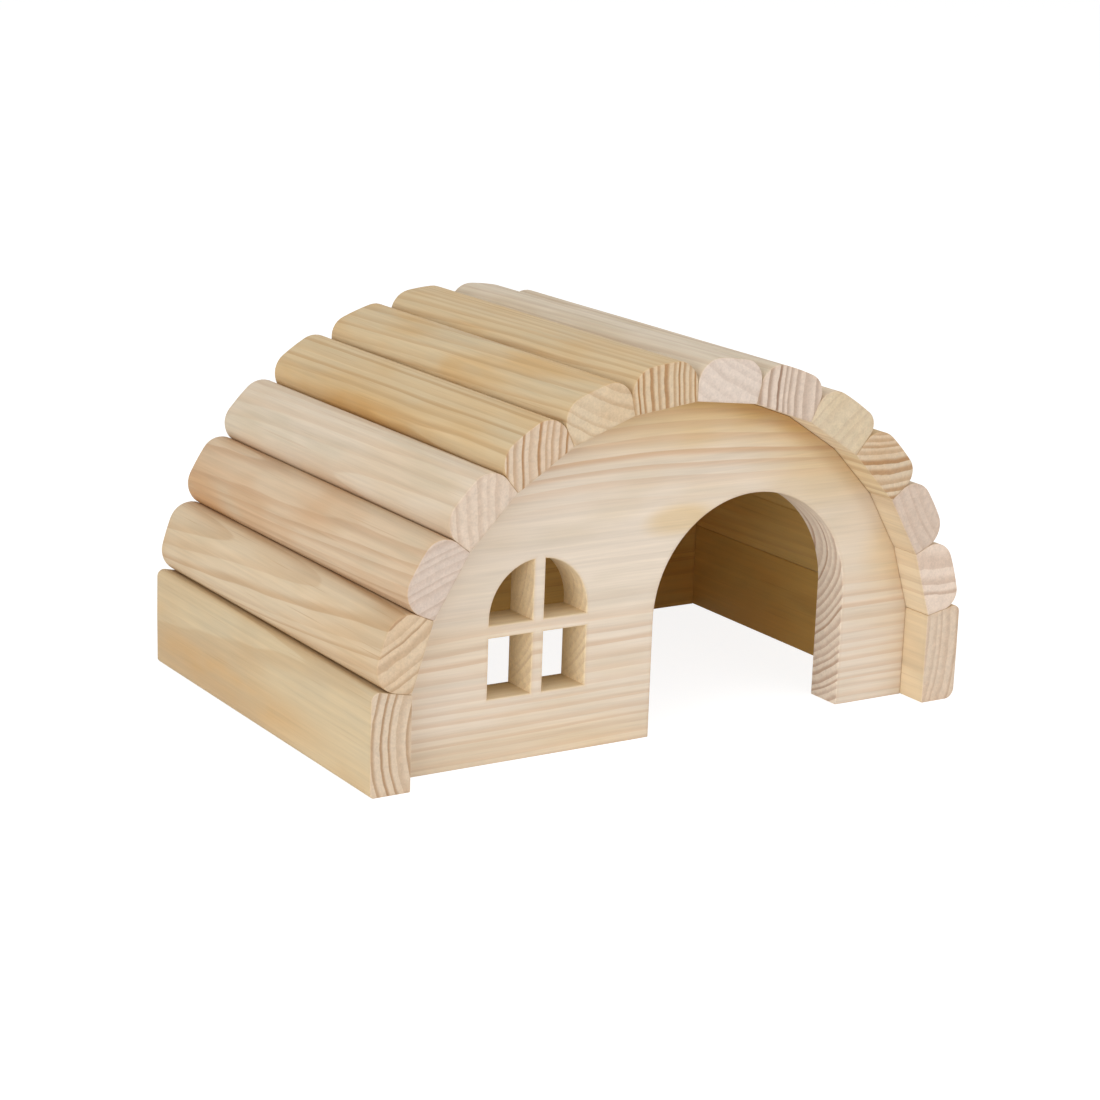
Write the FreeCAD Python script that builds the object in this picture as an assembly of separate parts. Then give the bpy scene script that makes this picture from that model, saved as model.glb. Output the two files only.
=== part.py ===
"""Arched wooden hamster house: two arch-topped walls roofed over with fourteen wooden slats.

The frame is in millimetres. +Z is up, +X is to the right as seen from the front, and the
front wall faces -Y. The origin is on the floor, under the middle of the house.

The house has no floor: it stands over the bedding on the lower edges of its walls and of
the upright slat at each side. Every slat is seated flat on the edges of both walls and is
held there by glue and one blind dowel at each wall.
"""

import FreeCAD
import Part

import math
import os
from collections import namedtuple

# House
HOUSE_WIDTH = 190.0         # over the outer faces of the two upright base slats
ARCH_HEIGHT = 106.0         # floor to the ridge, where the two top slats would meet unrounded

# Roof slats
SLAT_LENGTH = 130.0         # the depth of the house
SLAT_THICKNESS = 11.8
SLAT_EDGE_RADIUS = 6.0      # both long outer edges of every arch slat
SLAT_GAP = 0.4              # between the sides of two neighbouring slats
ARCH_SLAT_COUNT = 12        # slats on the arc, between the two base slats
BASE_SLAT_HEIGHT = 28.2     # outer face of an upright base slat
BASE_SLAT_TOP_RADIUS = 2.0
BASE_SLAT_FOOT_RADIUS = 3.0

# Walls
WALL_THICKNESS = 11.8
FRONT_OVERHANG = 9.6        # slat ends stand this far in front of the front wall
BACK_OVERHANG = 4.4         # slat ends stand this far behind the back wall

# Doorway in the front wall
DOOR_CENTRE_X = 27.8
DOOR_WIDTH = 65.6
DOOR_HEIGHT = 65.0          # to the top of its round head

# Window in the front wall
WINDOW_CENTRE_X = -40.6
WINDOW_WIDTH = 29.8
WINDOW_SILL_HEIGHT = 17.8   # floor to the lower edge of the window
WINDOW_HEIGHT = 36.4        # sill to the top of its round head
WINDOW_BAR_WIDTH = 3.1      # the upright and the level bar of the cross

# Blind fluted dowels between slats and walls
DOWEL_DIAMETER = 4.0        # over the ridges between its glue flutes
DOWEL_LENGTH = 10.0
DOWEL_FLUTES = 10
DOWEL_FLUTE_DEPTH = 0.25
DOWEL_SIDE_CLEARANCE = 0.1  # between the ridges and the socket, on the radius
DOWEL_END_CLEARANCE = 0.4   # between each dowel end and the end of its socket

# The arch: one circle through the ridge and through the top outer edge of each base slat
HALF_WIDTH = HOUSE_WIDTH / 2
ARCH_RISE = ARCH_HEIGHT - BASE_SLAT_HEIGHT
ARCH_RADIUS = (HALF_WIDTH ** 2 + ARCH_RISE ** 2) / (2 * ARCH_RISE)
ARCH_CENTRE_Z = ARCH_HEIGHT - ARCH_RADIUS
ARCH_HALF_ANGLE = math.atan2(HALF_WIDTH, BASE_SLAT_HEIGHT - ARCH_CENTRE_Z)
SLAT_ANGLE = 2 * ARCH_HALF_ANGLE / ARCH_SLAT_COUNT
SLAT_OUTER_DISTANCE = ARCH_RADIUS * math.cos(SLAT_ANGLE / 2)
SLAT_INNER_DISTANCE = SLAT_OUTER_DISTANCE - SLAT_THICKNESS

# The walls fill the space inside the slats
WALL_HALF_WIDTH = HALF_WIDTH - SLAT_THICKNESS
FRONT_WALL_Y = -SLAT_LENGTH / 2 + FRONT_OVERHANG
BACK_WALL_Y = SLAT_LENGTH / 2 - BACK_OVERHANG - WALL_THICKNESS

DEPTH = FreeCAD.Vector(0, 1, 0)
UP = FreeCAD.Vector(0, 0, 1)

# A corner of an outline, rounded by an arc where its radius is not zero
Corner = namedtuple("Corner", "x z radius", defaults=[0.0])

# The middle of a slat's inner face, and how far its outward normal leans from +Z towards +X
Seat = namedtuple("Seat", "x z lean")


def arch_point(distance, angle, across=0.0):
    """The (x, z) of a point at a distance from the arch's centre, moved across the radius."""
    x = distance * math.sin(angle) + across * math.cos(angle)
    z = distance * math.cos(angle) - across * math.sin(angle)
    return x, ARCH_CENTRE_Z + z


def slat_angle(index):
    """Lean of an arch slat, counted from 0 at the left."""
    return -ARCH_HALF_ANGLE + (index + 0.5) * SLAT_ANGLE


def outline(corners):
    """Closed wire in the XZ plane at y = 0, with an arc at each corner that has a radius."""
    ends = []
    for i, corner in enumerate(corners):
        here = FreeCAD.Vector(corner.x, 0, corner.z)
        before = FreeCAD.Vector(corners[i - 1].x, 0, corners[i - 1].z)
        after = corners[(i + 1) % len(corners)]
        back = (before - here).normalize()
        ahead = (FreeCAD.Vector(after.x, 0, after.z) - here).normalize()
        half_corner = back.getAngle(ahead) / 2
        run = corner.radius / math.tan(half_corner)
        middle = here + (back + ahead).normalize() * corner.radius * (1 / math.sin(half_corner) - 1)
        ends.append((here + back * run, middle, here + ahead * run))
    edges = []
    for i, (start, middle, end) in enumerate(ends):
        if corners[i].radius:
            edges.append(Part.Arc(start, middle, end).toShape())
        following = ends[(i + 1) % len(ends)][0]
        edges.append(Part.LineSegment(end, following).toShape())
    return Part.Wire(edges)


def board(wire, front_y, thickness):
    """Solid board with the wire's outline, from front_y to front_y + thickness."""
    face = Part.Face(wire)
    face.translate(DEPTH * front_y)
    return face.extrude(DEPTH * thickness)


def round_headed(centre_x, bottom_z, width, height, front_y):
    """Cutter for an opening right through a wall: straight sides under a half-round head."""
    radius = width / 2
    spring_z = bottom_z + height - radius
    left = centre_x - radius
    right = centre_x + radius
    bottom_left = FreeCAD.Vector(left, 0, bottom_z)
    bottom_right = FreeCAD.Vector(right, 0, bottom_z)
    spring_left = FreeCAD.Vector(left, 0, spring_z)
    spring_right = FreeCAD.Vector(right, 0, spring_z)
    crown = FreeCAD.Vector(centre_x, 0, bottom_z + height)
    wire = Part.Wire([
        Part.LineSegment(bottom_left, bottom_right).toShape(),
        Part.LineSegment(bottom_right, spring_right).toShape(),
        Part.Arc(spring_right, crown, spring_left).toShape(),
        Part.LineSegment(spring_left, bottom_left).toShape(),
    ])
    return board(wire, front_y, WALL_THICKNESS)


def arch_seat(index):
    """Where an arch slat sits on the walls."""
    angle = slat_angle(index)
    x, z = arch_point(SLAT_INNER_DISTANCE, angle)
    return Seat(x, z, angle)


def base_seat(side):
    """Where a base slat sits on the walls: side is -1 at the left and 1 at the right."""
    return Seat(side * WALL_HALF_WIDTH, BASE_SLAT_HEIGHT / 2, side * math.pi / 2)


def all_seats():
    """Seats of all slats, from the left base slat over the arch to the right one."""
    arch = [arch_seat(index) for index in range(ARCH_SLAT_COUNT)]
    return [base_seat(-1)] + arch + [base_seat(1)]


def joint_placement(seat, wall_y):
    """Puts a pin made upright around the origin across the joint of a slat and a wall."""
    outward = FreeCAD.Vector(math.sin(seat.lean), 0, math.cos(seat.lean))
    middle = FreeCAD.Vector(seat.x, wall_y + WALL_THICKNESS / 2, seat.z)
    return FreeCAD.Placement(middle, FreeCAD.Rotation(UP, outward))


def dowel(seat, wall_y):
    """One fluted dowel, half in the slat and half in the wall."""
    points = []
    for i in range(2 * DOWEL_FLUTES):
        radius = DOWEL_DIAMETER / 2 - (i % 2) * DOWEL_FLUTE_DEPTH
        turn = i * math.pi / DOWEL_FLUTES
        points.append(FreeCAD.Vector(
            radius * math.cos(turn), radius * math.sin(turn), -DOWEL_LENGTH / 2))
    section = Part.Face(Part.makePolygon(points + points[:1]))
    pin = section.extrude(UP * DOWEL_LENGTH)
    pin.Placement = joint_placement(seat, wall_y)
    return pin


def socket(seat, wall_y):
    """Cutter for the two blind holes that one dowel fits in."""
    radius = DOWEL_DIAMETER / 2 + DOWEL_SIDE_CLEARANCE
    length = DOWEL_LENGTH + 2 * DOWEL_END_CLEARANCE
    hole = Part.makeCylinder(radius, length, UP * -length / 2, UP)
    hole.Placement = joint_placement(seat, wall_y).multiply(hole.Placement)
    return hole


def bored_slat(corners, seat):
    """Slat with the given section, bored for its dowel at each wall."""
    slat = board(outline(corners), -SLAT_LENGTH / 2, SLAT_LENGTH)
    return slat.cut([socket(seat, FRONT_WALL_Y), socket(seat, BACK_WALL_Y)])


def arch_slat(index):
    """Slat of the arch: a wedge section with both outer long edges rounded over."""
    angle = slat_angle(index)
    side_inset = SLAT_GAP / 2 / math.cos(SLAT_ANGLE / 2)
    inner_half = SLAT_INNER_DISTANCE * math.tan(SLAT_ANGLE / 2) - side_inset
    outer_half = SLAT_OUTER_DISTANCE * math.tan(SLAT_ANGLE / 2) - side_inset
    corners = [
        Corner(*arch_point(SLAT_INNER_DISTANCE, angle, -inner_half)),
        Corner(*arch_point(SLAT_OUTER_DISTANCE, angle, -outer_half), SLAT_EDGE_RADIUS),
        Corner(*arch_point(SLAT_OUTER_DISTANCE, angle, outer_half), SLAT_EDGE_RADIUS),
        Corner(*arch_point(SLAT_INNER_DISTANCE, angle, inner_half)),
    ]
    return bored_slat(corners, arch_seat(index))


def base_slat(side):
    """Upright slat at the floor. Its top is bevelled to meet the side of the first arch slat."""
    top_slope = 1 / math.tan(ARCH_HALF_ANGLE)
    gap_drop = SLAT_GAP / 2 / math.sin(ARCH_HALF_ANGLE)
    outer_top = BASE_SLAT_HEIGHT - gap_drop
    inner_top = outer_top - SLAT_THICKNESS * top_slope
    inner_x = side * WALL_HALF_WIDTH
    outer_x = side * HALF_WIDTH
    corners = [
        Corner(inner_x, 0),
        Corner(outer_x, 0, BASE_SLAT_FOOT_RADIUS),
        Corner(outer_x, outer_top, BASE_SLAT_TOP_RADIUS),
        Corner(inner_x, inner_top),
    ]
    return bored_slat(corners, base_seat(side))


def wall_blank(wall_y):
    """Arch-topped board with one flat on its edge for each slat, bored for the dowels."""
    shoulder_angle = slat_angle(ARCH_SLAT_COUNT - 1)
    shoulder_reach = SLAT_INNER_DISTANCE - WALL_HALF_WIDTH * math.sin(shoulder_angle)
    shoulder_z = ARCH_CENTRE_Z + shoulder_reach / math.cos(shoulder_angle)
    crest_distance = SLAT_INNER_DISTANCE / math.cos(SLAT_ANGLE / 2)
    corners = [
        Corner(WALL_HALF_WIDTH, 0),
        Corner(-WALL_HALF_WIDTH, 0),
        Corner(-WALL_HALF_WIDTH, shoulder_z),
    ]
    for index in range(1, ARCH_SLAT_COUNT):
        joint_angle = -ARCH_HALF_ANGLE + index * SLAT_ANGLE
        corners.append(Corner(*arch_point(crest_distance, joint_angle)))
    corners.append(Corner(WALL_HALF_WIDTH, shoulder_z))
    blank = board(outline(corners), wall_y, WALL_THICKNESS)
    return blank.cut([socket(seat, wall_y) for seat in all_seats()])


def window_panes():
    """Cutters for the four panes: the round-headed window less the two bars of its cross."""
    window = round_headed(
        WINDOW_CENTRE_X, WINDOW_SILL_HEIGHT, WINDOW_WIDTH, WINDOW_HEIGHT, FRONT_WALL_Y)
    left = WINDOW_CENTRE_X - WINDOW_WIDTH / 2
    upright = Part.makeBox(
        WINDOW_BAR_WIDTH, WALL_THICKNESS, WINDOW_HEIGHT,
        FreeCAD.Vector(WINDOW_CENTRE_X - WINDOW_BAR_WIDTH / 2, FRONT_WALL_Y, WINDOW_SILL_HEIGHT))
    middle_z = WINDOW_SILL_HEIGHT + WINDOW_HEIGHT / 2
    level = Part.makeBox(
        WINDOW_WIDTH, WALL_THICKNESS, WINDOW_BAR_WIDTH,
        FreeCAD.Vector(left, FRONT_WALL_Y, middle_z - WINDOW_BAR_WIDTH / 2))
    return window.cut([upright, level])


def front_wall():
    """Front wall with the doorway, open to the floor, and the four-pane window beside it."""
    door = round_headed(DOOR_CENTRE_X, 0, DOOR_WIDTH, DOOR_HEIGHT, FRONT_WALL_Y)
    return wall_blank(FRONT_WALL_Y).cut([door, window_panes()])


def back_wall():
    """Plain back wall."""
    return wall_blank(BACK_WALL_Y)


def dowel_set(wall_y):
    """All the dowels of one wall, one in each slat."""
    return Part.makeCompound([dowel(seat, wall_y) for seat in all_seats()])


def house_pieces():
    """Every piece of the house by name."""
    pieces = {
        "front_wall": front_wall(),
        "back_wall": back_wall(),
        "left_base_slat": base_slat(-1),
        "right_base_slat": base_slat(1),
        "front_dowels": dowel_set(FRONT_WALL_Y),
        "back_dowels": dowel_set(BACK_WALL_Y),
    }
    for index in range(ARCH_SLAT_COUNT):
        pieces[f"roof_slat_{index + 1:02d}"] = arch_slat(index)
    return pieces


os.makedirs("parts", exist_ok=True)
for name, shape in house_pieces().items():
    shape.exportStep(f"parts/{name}.step")
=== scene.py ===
"""Looks of the arched wooden hamster house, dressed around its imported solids.

Everything is in metres in the frame of the solids: +X is to the right as seen from the front,
the front wall faces -Y, +Z is up and the house stands on Z = 0. Sizes that belong to the house
are written in millimetres, as a joiner would, and turned into metres by ``mm``.
"""

import logging
import math
from dataclasses import dataclass, field
from enum import Enum
from typing import Any, Optional, Sequence, Union
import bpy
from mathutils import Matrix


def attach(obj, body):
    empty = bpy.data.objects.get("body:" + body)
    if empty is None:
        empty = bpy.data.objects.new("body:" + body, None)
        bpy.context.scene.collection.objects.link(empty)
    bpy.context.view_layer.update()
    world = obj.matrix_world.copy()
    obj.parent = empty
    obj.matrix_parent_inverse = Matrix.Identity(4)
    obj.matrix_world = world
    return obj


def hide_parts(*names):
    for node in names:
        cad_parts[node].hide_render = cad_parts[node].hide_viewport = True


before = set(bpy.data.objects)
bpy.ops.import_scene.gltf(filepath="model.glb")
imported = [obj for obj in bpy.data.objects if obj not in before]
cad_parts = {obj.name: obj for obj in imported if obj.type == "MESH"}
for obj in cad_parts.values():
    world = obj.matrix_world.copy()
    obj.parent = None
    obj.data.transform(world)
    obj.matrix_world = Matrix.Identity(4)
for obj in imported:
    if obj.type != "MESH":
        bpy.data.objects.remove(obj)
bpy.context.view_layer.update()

import bpy
from mathutils import Matrix, Vector
from mathutils.geometry import delaunay_2d_cdt

logging.basicConfig(level=logging.INFO, format="%(message)s")
LOG = logging.getLogger("hamster_house")

Number = Union[float, "Value"]
Point = tuple[float, float]
Colour = tuple[float, float, float]

EDGE = "sanded_edge"        # mesh attribute: 1 on the sanded edges of a piece
GROOVE = "groove"           # mesh attribute: 1 on the sides of a slat, down in the grooves
SCORCH_AND_SHADE = "scorch"           # mesh attribute: 1 where the saw has left the side of an opening brown; painted shade makes it stronger at the back
SHARP = math.radians(38.0)  # edges that turn by more than this are drawn sharp


def mm(length: float) -> float:
    """Millimetres in metres."""
    return length / 1000.0


def paint(code: str) -> Colour:
    """The linear colour of a hex code such as ``e0c8a6``."""
    parts = [int(code[i:i + 2], 16) / 255.0 for i in (0, 2, 4)]
    return tuple(p / 12.92 if p <= 0.04045 else ((p + 0.055) / 1.055) ** 2.4 for p in parts)


def bearing(azimuth: float, elevation: float) -> Vector:
    """The direction from the house to a place around it.

    Args:
        azimuth: The place's bearing in degrees, 0 in front of the house, positive to the right.
        elevation: Its height as an angle in degrees.

    Returns:
        The direction, of length 1.
    """
    a, e = math.radians(azimuth), math.radians(elevation)
    return Vector((math.sin(a) * math.cos(e), -math.cos(a) * math.cos(e), math.sin(e)))


def put_in_scene(name: str, data: Any) -> bpy.types.Object:
    """Makes an object of its data, in its place.

    Args:
        name: The object's name.
        data: Its mesh, lamp or camera.

    Returns:
        The object.
    """
    thing = bpy.data.objects.new(name, data)
    bpy.context.scene.collection.objects.link(thing)
    return thing


def smooth(mesh: bpy.types.Mesh) -> None:
    """Shades a mesh smooth, but for its sharp edges."""
    mesh.shade_smooth()
    mesh.set_sharp_from_angle(angle=SHARP)


# --------------------------------------------------------------------------- node sheets


class Value:
    """One output socket of a node, which Python's arithmetic turns into Math nodes."""

    def __init__(self, sheet: "Sheet", socket: bpy.types.NodeSocket) -> None:
        """Keeps the sheet the socket is on, so that an expression can add nodes there."""
        self.sheet = sheet
        self.socket = socket

    def __add__(self, other: Number) -> "Value":
        """self + other."""
        return self.sheet.maths("ADD", self, other)

    def __radd__(self, other: Number) -> "Value":
        """other + self."""
        return self.sheet.maths("ADD", other, self)

    def __sub__(self, other: Number) -> "Value":
        """self - other."""
        return self.sheet.maths("SUBTRACT", self, other)

    def __rsub__(self, other: Number) -> "Value":
        """other - self."""
        return self.sheet.maths("SUBTRACT", other, self)

    def __mul__(self, other: Number) -> "Value":
        """self * other."""
        return self.sheet.maths("MULTIPLY", self, other)

    def __rmul__(self, other: Number) -> "Value":
        """other * self."""
        return self.sheet.maths("MULTIPLY", other, self)

    def __truediv__(self, other: Number) -> "Value":
        """self / other."""
        return self.sheet.maths("DIVIDE", self, other)

    def __abs__(self) -> "Value":
        """The size of the value without its sign."""
        return self.sheet.maths("ABSOLUTE", self)

    def __lt__(self, other: Number) -> "Value":
        """1 where self is below other, else 0."""
        return self.sheet.maths("LESS_THAN", self, other)

    def __gt__(self, other: Number) -> "Value":
        """1 where self is above other, else 0."""
        return self.sheet.maths("GREATER_THAN", self, other)

    def output(self, name: str) -> "Value":
        """Another output of the same node."""
        return Value(self.sheet, self.socket.node.outputs[name])


class Sheet:
    """A node tree that is written as expressions."""

    def __init__(self, tree: bpy.types.NodeTree) -> None:
        """Starts from an empty tree."""
        self.tree = tree
        tree.nodes.clear()

    def add(self, kind: str, settings: Optional[dict[str, Any]] = None,
            sockets: Optional[dict[Union[int, str], Any]] = None,
            output: Union[int, str] = 0) -> Value:
        """Adds one node.

        Args:
            kind: The node's type.
            settings: Its properties. ``captures`` is a list of (type, name) for a Capture node.
            sockets: Values or links for its inputs, by name or by place.
            output: The output to return.

        Returns:
            The chosen output of the new node.
        """
        node = self.tree.nodes.new(kind)
        for name, setting in (settings or {}).items():
            if name == "captures":
                for item in setting:
                    node.capture_items.new(*item)
            else:
                setattr(node, name, setting)
        for name, given in (sockets or {}).items():
            if isinstance(given, Value):
                self.tree.links.new(given.socket, node.inputs[name])
            else:
                node.inputs[name].default_value = given
        return Value(self, node.outputs[output]) if node.outputs else Value(self, None)

    def maths(self, operation: str, *terms: Number) -> Value:
        """A Math node on two or three terms."""
        return self.add("ShaderNodeMath", {"operation": operation}, dict(enumerate(terms)))

    def step(self, value: Value, low: Number, high: Number) -> Value:
        """Rises smoothly from 0 at low to 1 at high."""
        return self.add("ShaderNodeMapRange", {"interpolation_type": "SMOOTHSTEP"},
                        {"Value": value, "From Min": low, "From Max": high})

    def clamp(self, value: Value, low: float, high: float) -> Value:
        """Keeps the value between low and high."""
        return self.add("ShaderNodeClamp", None, {"Value": value, "Min": low, "Max": high})

    def far(self, a: Value, b: Value) -> Value:
        """The distance covered by a one way and b at right angles to it."""
        return self.maths("SQRT", a * a + b * b)

    def vector(self, x: Number, y: Number, z: Number) -> Value:
        """A vector from three numbers."""
        return self.add("ShaderNodeCombineXYZ", None, {0: x, 1: y, 2: z})

    def parts(self, vector: Value) -> tuple[Value, Value, Value]:
        """The three numbers of a vector."""
        first = self.add("ShaderNodeSeparateXYZ", None, {0: vector})
        return first, first.output("Y"), first.output("Z")

    def scaled(self, vector: Value, scale: Number) -> Value:
        """A vector or colour times a number."""
        return self.add("ShaderNodeVectorMath", {"operation": "SCALE"},
                        {0: vector, "Scale": scale})

    def dot(self, first: Value, second: Any) -> Value:
        """The dot product of two vectors."""
        return self.add("ShaderNodeVectorMath", {"operation": "DOT_PRODUCT"},
                        {0: first, 1: second}, output="Value")

    def place(self, scale: float) -> Value:
        """The place on the object, in metres, times a scale."""
        return self.scaled(self.add("ShaderNodeTexCoord", output="Object"), scale)

    def mark(self, name: str) -> Value:
        """One of the mesh's attributes."""
        return self.add("ShaderNodeAttribute", {"attribute_name": name}, output="Fac")

    def bump(self, height: Value, strength: float) -> Value:
        """A bent normal for a height in millimetres."""
        return self.add("ShaderNodeBump", None,
                        {"Height": height, "Distance": mm(1.0), "Strength": strength})

    def blend(self, share: Number, first: Any, second: Any, mode: str = "MIX") -> Value:
        """A Mix node on two colours.

        Args:
            share: How much of the second colour shows.
            first: A linear colour or a link.
            second: A linear colour or a link.
            mode: The blend mode.

        Returns:
            The mixed colour.
        """
        a, b = [(*c, 1.0) if isinstance(c, tuple) else c for c in (first, second)]
        return self.add("ShaderNodeMix", {"data_type": "RGBA", "blend_type": mode},
                        {0: share, 6: a, 7: b}, output=2)

    def noise(self, place: Value, detail: float = 2.0, roughness: float = 0.5,
              output: str = "Fac") -> Value:
        """Noise of one cell per unit of place.

        Args:
            place: Where to read it.
            detail: How many finer noises lie over it.
            roughness: How strong the finer noises are.
            output: ``Fac`` for a number, ``Color`` for three.

        Returns:
            The noise, about 0.5.
        """
        return self.add("ShaderNodeTexNoise", {"noise_dimensions": "3D"},
                        {"Vector": place, "Scale": 1.0, "Detail": detail, "Roughness": roughness},
                        output)

    def wood(self, colour: Value, roughness: Value, bump: Value) -> None:
        """Ends the sheet in bare, sanded wood.

        Args:
            colour: The wood's colour.
            roughness: Its roughness.
            bump: Its bent normal.
        """
        shader = self.add("ShaderNodeBsdfPrincipled", None, {
            "Base Color": colour, "Roughness": roughness, "Normal": bump,
            "Specular IOR Level": 0.35})
        self.add("ShaderNodeOutputMaterial", None, {"Surface": shader})


def new_material(name: str) -> tuple[bpy.types.Material, Sheet]:
    """Starts a material.

    Args:
        name: The material's name.

    Returns:
        The material and the sheet of its nodes.
    """
    material = bpy.data.materials.new(name)
    material.use_nodes = True
    return material, Sheet(material.node_tree)


# --------------------------------------------------------------------------- wood finishes


class Grain(Enum):
    """The axis that the fibres of a board run along."""

    ALONG_X = "x"
    ALONG_Y = "y"


class Tone(Enum):
    """Shades of untreated pine: early wood, late wood, warm patches and late wood on the ends."""

    STRAW = ("dfc9a9", "bf986c", "d3ae7e", "a97f58")
    CREAM = ("e3d2bb", "c6a27b", "dcbc91", "a98060")
    WHITE = ("eadbc9", "d0a882", "dfc08a", "ac7850")
    BLUSH = ("dbc2a3", "b98e67", "cda071", "a0744f")
    HONEY = ("dac29a", "b48850", "d3aa6e", "a36f35")
    OLIVE = ("dac49e", "b78f5c", "d5aa70", "9f7346")
    SILVER = ("e2d2bb", "bd9f80", "d4c0a1", "94735c")


class Stain(Enum):
    """What age, tools and dust leave on pine, and painted light and shade: its colour and its
    blend.
    """

    PAINTED_EAVES_LIGHT = ("f3dfbb", "MIX")           # painted light: inner faces outside the room, under the eaves, made paler
    COOL = ("c9bca0", "MIX")            # cool clouds in the early wood
    CANAL = ("a97c50", "MIX")           # resin canals
    # painted shade under the overhang, where a wall meets the roof
    PAINTED_SEAM_SHADE = ("cfb07a", "MULTIPLY")
    PAINTED_INDOOR_SHADE = ("ffe69c", "MULTIPLY")    # painted shade: inner faces inside the room, warmer and darker
    HANDLED = ("c79a6c", "MIX")         # sanded edges
    DUST_AND_SHADE = ("a2743f", "MIX")            # dust, and painted shade, down in the grooves
    SAW_AND_SHADE = ("fff8da", "MULTIPLY")        # sides of an opening left brown by the saw, with painted shade towards the back

    def over(self, colour: Value, share: Value) -> Value:
        """A colour with the tint over it, as strong as the share."""
        code, mode = self.value
        return colour.sheet.blend(share, colour, paint(code), mode)


class Figure(Enum):
    """Noises drawn out along the grain.

    Cells per millimetre along it and across it, a shift that sets the noise apart, its detail.
    """

    FIBRES = (0.060, 1.7, 7.0, 2.0)
    STREAKS = (0.008, 0.55, 19.0, 3.0)
    CANALS = (0.030, 2.1, 43.0, 0.0)
    WARM_CLOUDS = (0.022, 0.06, 31.0, 2.0)
    COOL_CLOUDS = (0.030, 0.09, 77.0, 2.0)
    RIPPLES = (0.02, 0.16, 57.0, 2.0)


@dataclass(frozen=True)
class Spot:
    """The place in a board that its finish is written for. Millimetres."""

    sheet: Sheet
    along: Value                # along the grain
    across: Value               # across it, level
    z: Value                    # up from the floor
    seed: float                 # sets the board's noises apart from the other boards'

    def noise(self, figure: Figure) -> Value:
        """One of the noises, about 0.5.

        Args:
            figure: Which of them.

        Returns:
            The noise.
        """
        slow, quick, shift, detail = figure.value
        place = self.sheet.vector(
            self.along * slow + (self.seed + shift), self.across * quick, self.z * quick)
        return self.sheet.noise(place, detail, 0.6)


@dataclass(frozen=True)
class WarmPatch:
    """A deeper coloured patch of a board. Millimetres."""

    along: float                # its middle along the grain
    up: float                   # its middle from the floor
    reach: float                # how far it spreads up and down
    strength: float
    length: float               # how many times further it spreads along the grain

    def shade(self, spot: Spot, cloud: Value) -> Value:
        """How much the patch warms a spot.

        Args:
            spot: The spot.
            cloud: Noise about 0.5, which makes the patch's edge wander.

        Returns:
            The warmth, from 0 to the patch's strength.
        """
        away = spot.sheet.far((spot.along - self.along) / self.length, spot.z - self.up)
        away = away + (cloud - 0.5) * self.reach
        return (1.0 - spot.sheet.step(away, self.reach * 0.3, self.reach)) * self.strength


@dataclass(frozen=True)
class PaintedSeamShade:
    """Painted shade in the arched corner where a wall meets the roof, under its overhang (mm)."""

    centre_z: float
    radius: float
    reach: float = 6.0
    strength: float = 0.64
    rise: Point = (-28.0, 22.0)  # where along the wall it deepens
    fall: Point = (26.0, 80.0)  # where it fades again

    def shade(self, spot: Spot) -> Value:
        """How dark the painted shade makes a spot of the wall.

        Args:
            spot: The spot.

        Returns:
            The painted shade, from 0 to 1, strongest at the seam and at the right of the ridge.
        """
        step = spot.sheet.step
        inside = self.radius - spot.sheet.far(spot.along, spot.z - self.centre_z)
        near = 1.0 - step(inside, self.reach * 0.1, self.reach)
        spread = step(spot.along, *self.rise) * (1.0 - step(spot.along, *self.fall) * 0.95)
        return near * spread * self.strength


@dataclass(frozen=True)
class Wood:
    """What sets the wood of one board apart from the next. Millimetres, and shares of 1."""

    tone: Tone
    ring_step: float = 2.7
    face_contrast: float = 0.40
    end_contrast: float = 0.55
    end_pale: float = 0.45
    end_tint: str = "e3cebd"
    late_share: float = 0.06    # the share of a ring that is fully dark
    tilt: Point = (0.02, 0.03)  # how far the pith strays per millimetre along the grain
    bow: float = 0.0            # how much the high lines of the board fall to both sides
    wander: float = 1.2
    calm: float = 0.0           # how far above and below the pith a face stays free of lines
    foot_share: float = 1.0     # the share of the lines' contrast left at the foot of the board
    clouds: float = 0.5
    cool: float = 0.34
    flecks: float = 0.2
    patches: tuple[WarmPatch, ...] = ()
    # painted shade where the wall meets the roof, if any
    seam: Optional[PaintedSeamShade] = None


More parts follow.
